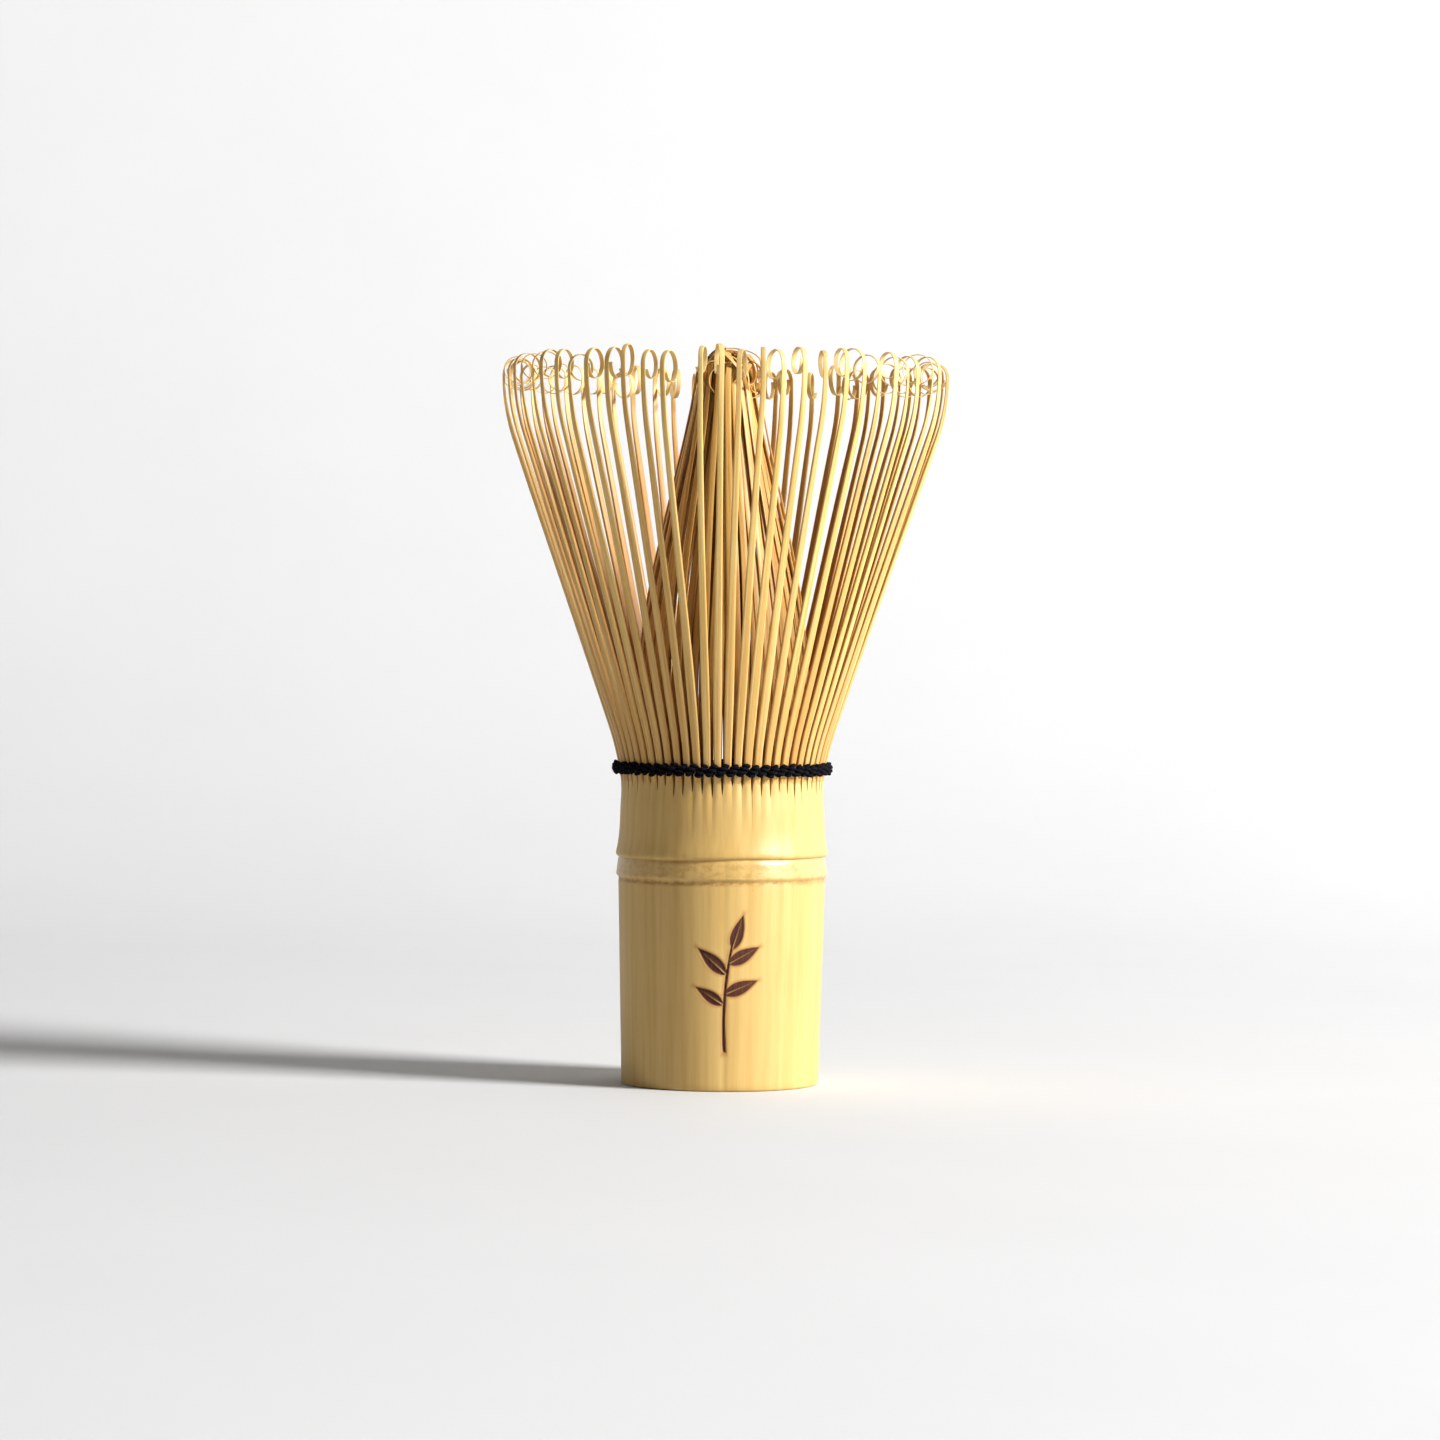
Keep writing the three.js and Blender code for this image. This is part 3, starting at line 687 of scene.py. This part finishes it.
def make_split(layer, number, tine_of, section, material):
    """The tines of one split as one piece, which takes the place of the split's part."""
    tines = [number * TINES_PER_SPLIT + j for j in range(TINES_PER_SPLIT)]
    line, beside, face, half_width, half_thick, along, climb = map(np.stack, zip(*(tine_of(t) for t in tines)))
    points = tubes(line, beside, face, section, half_width, half_thick)
    count, stations, sides, _ = points.shape
    across = section[:, 0] * half_width[..., None] + 2.0 * np.sign(section[:, 1])
    strip = np.broadcast_to(np.array(tines, float)[:, None, None], across.shape)
    length_on = np.broadcast_to(along[..., None], across.shape)
    marks = {
        "grain": np.stack([across, length_on, strip], -1).reshape(-1, 3),
        "climb": np.repeat(climb.ravel(), sides),
        "skin_side": np.tile((section[:, 1] > 0).astype(float), count * stations),
        "shade": np.repeat(np.clip(scatter(np.array(tines), 30) * 0.5 + 0.4, 0, 1), stations * sides),
    }
    name = f"{layer}_tines_{number + 1:02d}"
    piece = make_piece(name, points, tube_faces(count, stations, sides), material, marks, math.radians(48))
    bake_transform(piece)
    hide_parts(f"{layer}_split_{number + 1:02d}")
    return piece


# ------------------------------------------------------------------ the thread
def strand_line(turn, phase):
    """A strand's line round the tines: outside one and inside the next, on a squared cosine wave, while it
    rises and falls on a sine wave, so that the two strands wrap round each other in the gaps."""
    wave = math.pi * turn / PITCH + phase
    side = np.tanh(2.2 * np.cos(wave)) / math.tanh(2.2)
    radius = COLLAR_RADIUS + 0.12 + STRAND_SWING * side
    wobble = 0.08 * np.sin(5 * turn + phase) + 0.05 * np.sin(11 * turn)
    return around(radius, turn, THREAD_Z + STRAND_TWINE * np.sin(wave) + wobble), np.abs(side)


def make_strand(name, phase, node, material):
    """A strand of three yarns. Each yarn's line winds round the strand's, a whole number of times."""
    stations, sides, yarns, windings = 1024, 6, 3, 55
    turn = np.arange(stations) * 2 * math.pi / stations + PITCH / 2
    line, outside = strand_line(turn, phase)
    tangent = np.roll(line, -1, axis=0) - np.roll(line, 1, axis=0)
    tangent /= np.linalg.norm(tangent, axis=1, keepdims=True)
    upward = np.array([0, 0, 1.0]) - tangent * tangent[:, 2:]
    upward /= np.linalg.norm(upward, axis=1, keepdims=True)
    sideways = np.cross(upward, tangent)
    squeeze = 0.6 + 0.4 * outside
    section = soft_square(sides, 1.0)
    twist = windings * turn[None, :] + np.arange(yarns)[:, None] * 2 * math.pi / yarns
    reach = (YARN_RADIUS * 1.12 * squeeze)[None, :, None]
    centres = line + reach * (np.cos(twist)[..., None] * sideways + np.sin(twist)[..., None] * upward * 1.15)
    size = np.broadcast_to(YARN_RADIUS * squeeze, twist.shape)
    lay = lambda side: np.broadcast_to(side, centres.shape)
    points = tubes(centres, lay(sideways), lay(upward), section, size, size * 1.1)
    girth = np.broadcast_to(np.arange(sides) / 2, (yarns, stations, sides))
    length_on = np.broadcast_to((turn * COLLAR_RADIUS)[None, :, None], girth.shape)
    yarn = np.broadcast_to(np.arange(yarns)[:, None, None] + phase, girth.shape)
    marks = {"grain": np.stack([girth, length_on + girth, yarn], -1).reshape(-1, 3)}
    piece = make_piece(name, points, tube_faces(yarns, stations, sides, closed=True), material, marks)
    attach(piece, "handle")
    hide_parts(node)
    return piece


def make_fuzz(material):
    """Loose cotton fibres that stand off the thread: each starts on the band and bows away from it."""
    draw = np.random.default_rng(4)
    count, stations = 320, 6
    turn = draw.uniform(0, 2 * math.pi, count)
    share = np.linspace(0, 1, stations)
    reach = draw.uniform(0.25, 0.95, count)[:, None] * share
    sweep = draw.normal(0, 0.05, count)[:, None] * share
    rise = draw.uniform(-0.7, 0.7, count)[:, None] + draw.normal(0, 0.45, count)[:, None] * share**1.5
    bow = draw.normal(0, 0.25, count)[:, None] * share**2
    line = around(COLLAR_RADIUS + 0.85 + reach * 0.6, turn[:, None] + sweep + bow / 15, THREAD_Z + rise)
    section = soft_square(3, 1.0)
    size = np.broadcast_to(0.014 * (1 - 0.6 * share), (count, stations))
    outward = np.broadcast_to(around(1.0, turn + 1.2, 0.0)[:, None, :], line.shape)
    upward = np.broadcast_to([0.0, 0.0, 1.0], line.shape)
    points = tubes(line, outward, upward, section, size, size)
    marks = {"grain": np.zeros((points.size // 3, 3))}
    piece = make_piece("thread_fuzz", points, tube_faces(count, stations, 3), material, marks)
    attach(piece, "handle")
    return piece


def make_tail(material):
    """The thread's tied-off end: a knot of three loops inside the band, and a short tail standing up."""
    low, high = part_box("thread_tail")
    middle = (np.array(low) + np.array(high)) / 2 * METRE
    foot = np.array([middle[0], low.y * METRE + 0.75, low.z * METRE + 0.7])
    swing = np.linspace(0, 4 * math.pi, 72, endpoint=False)
    loops = np.stack(
        [
            (0.30 + 0.12 * np.cos(1.5 * swing)) * np.cos(swing),
            0.22 * np.sin(1.5 * swing),
            (0.30 + 0.12 * np.cos(1.5 * swing)) * np.sin(swing),
        ],
        -1,
    )
    rise = np.linspace(0, 1, 24)[:, None]
    tail = rise * np.array([0.0, 0.1, high.z * METRE - foot[2] - 0.25])
    tail = tail + np.stack([0.1 * np.sin(9 * rise[:, 0]), 0.08 * np.cos(7 * rise[:, 0]), 0 * rise[:, 0]], -1)
    points, faces, start = [], [], 0
    for line, closed in ((foot + loops, True), (foot + tail, False)):
        tangent = np.gradient(line, axis=0)
        if closed:
            tangent = np.roll(line, -1, axis=0) - np.roll(line, 1, axis=0)
        tangent /= np.linalg.norm(tangent, axis=1, keepdims=True)
        side = np.cross(tangent, np.array([0.36, 0.9, 0.22]))
        side /= np.linalg.norm(side, axis=1, keepdims=True)
        other = np.cross(tangent, side)
        size = np.full((1, len(line)), 0.17)
        made = tubes(line[None], side[None], other[None], soft_square(8, 1.0), size, size)
        points.append(made.reshape(-1, 3))
        faces += [[start + i for i in f] for f in tube_faces(1, len(line), 8, closed)]
        start += len(points[-1])
    points = np.concatenate(points)
    marks = {"grain": points * 0.7}
    piece = make_piece("thread_end", points, faces, material, marks)
    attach(piece, "handle")
    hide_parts("thread_tail")
    return piece


# ------------------------------------------------------------------ the stage, the lights and the camera
def make_stage():
    """A pale floor that sweeps up all round into a wall, on a quarter circle. Its outline is an ellipse about
    a point in front of the whisk, so the wall stands close behind it and far off on the other sides."""
    half_wide, half_deep, forward, bend, tall = 1900.0, 1151.0, -870.0, 300.0, 700.0
    columns = 96
    share = np.concatenate([np.linspace(0.1, 1, 10), np.ones(13)])
    sweep = np.concatenate([np.zeros(10), np.linspace(0, math.pi / 2, 13)[1:], [math.pi / 2]])
    rise = bend * (1 - np.cos(sweep))
    rise[-1] = tall
    turn = np.linspace(0, 2 * math.pi, columns, endpoint=False)
    x = (half_wide * share + bend * np.sin(sweep))[:, None] * np.sin(turn)
    y = forward - (half_deep * share + bend * np.sin(sweep))[:, None] * np.cos(turn)
    rings = np.stack([x, y, np.broadcast_to(rise[:, None], x.shape)], -1).reshape(-1, 3)
    points = np.concatenate([rings, [(0, forward, 0)]])
    faces = ring_quads(len(share), columns)[:, ::-1].tolist()
    faces += [[len(rings), c, (c + 1) % columns] for c in range(columns)]
    floor = make_piece("pale_floor", points, faces, pale_paper())
    return floor


def make_light(name, size, power, place, aim):
    """A square soft light, from its place towards its aim, in metres."""
    lamp = bpy.data.lights.new(name, "AREA")
    lamp.shape = "SQUARE"
    lamp.size = size
    lamp.energy = power
    light = bpy.data.objects.new(name, lamp)
    light.location = place
    direction = np.array(aim) - np.array(place)
    flat = math.hypot(direction[0], direction[1])
    light.rotation_euler = (math.atan2(flat, -direction[2]), 0, math.atan2(-direction[0], direction[1]))
    bpy.context.scene.collection.objects.link(light)
    return light


def make_lights():
    """A low soft key from the right, and a weak pale sky."""
    turn, rise, far, middle = math.radians(66), math.radians(27), 1.8, 0.05
    key = np.array([math.sin(turn) * math.cos(rise), -math.cos(turn) * math.cos(rise), math.sin(rise)]) * far
    make_light("key_window", 0.5, 56, key + [0, 0, middle], (0, 0, middle))
    world = bpy.data.worlds.new("pale_room")
    world.use_nodes = True
    sky = world.node_tree.nodes["Background"]
    sky.inputs["Color"].default_value = (1.0, 0.985, 0.97, 1)
    sky.inputs["Strength"].default_value = 0.1
    bpy.context.scene.world = world
    bpy.context.scene.view_settings.view_transform = "Standard"
    bpy.context.scene.view_settings.look = "Medium High Contrast"


def make_camera():
    """A long lens a little above the thread, looking slightly down at the front."""
    camera = bpy.data.cameras.new("front_view")
    lens, sensor, tilt, roll = 119.75, 36, math.radians(1.12), math.radians(-0.5)
    camera.lens = lens
    camera.sensor_width = sensor
    view = bpy.data.objects.new("front_view", camera)
    view.location = (-0.0005, -0.671, 0.064)
    view.rotation_euler = (math.pi / 2 - tilt, roll, 0)
    bpy.context.scene.collection.objects.link(view)
    bpy.context.scene.camera = view


# ------------------------------------------------------------------ the whisk
make_camera()
make_lights()
make_stage()

skin = bamboo_skin()
for culm_piece in (make_handle(skin), make_collar(skin)):
    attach(culm_piece, "handle")

outer_strip = shaved_bamboo(
    "outer_strip", pale=(0.76, 0.57, 0.23), warm=(0.65, 0.42, 0.13), dark=(0.38, 0.135, 0.018), root_shade=0.3,
    tip_paleness=0.3,
)
# Painted shade: the inner strips are the same bamboo as the outer ones, given darker, more orange colours for the
# shade inside the cone, and more painted shade at the root.
shaded_inner_strip = shaved_bamboo(
    "shaded_inner_strip", pale=(0.74, 0.48, 0.15), warm=(0.58, 0.31, 0.07), dark=(0.28, 0.09, 0.01), root_shade=0.45,
    tip_paleness=0.1,
)
outer_section = soft_square(12, 0.42)
inner_section = soft_square(8, 0.5)
for split in range(SPLITS):
    make_split("outer", split, outer_tine, outer_section, outer_strip)
    make_split("inner", split, inner_tine, inner_section, shaded_inner_strip)

thread = cotton()
make_strand("thread_first", 0.0, "thread_strand_first", thread)
make_strand("thread_second", math.pi, "thread_strand_second", thread)
make_fuzz(thread)
make_tail(thread)
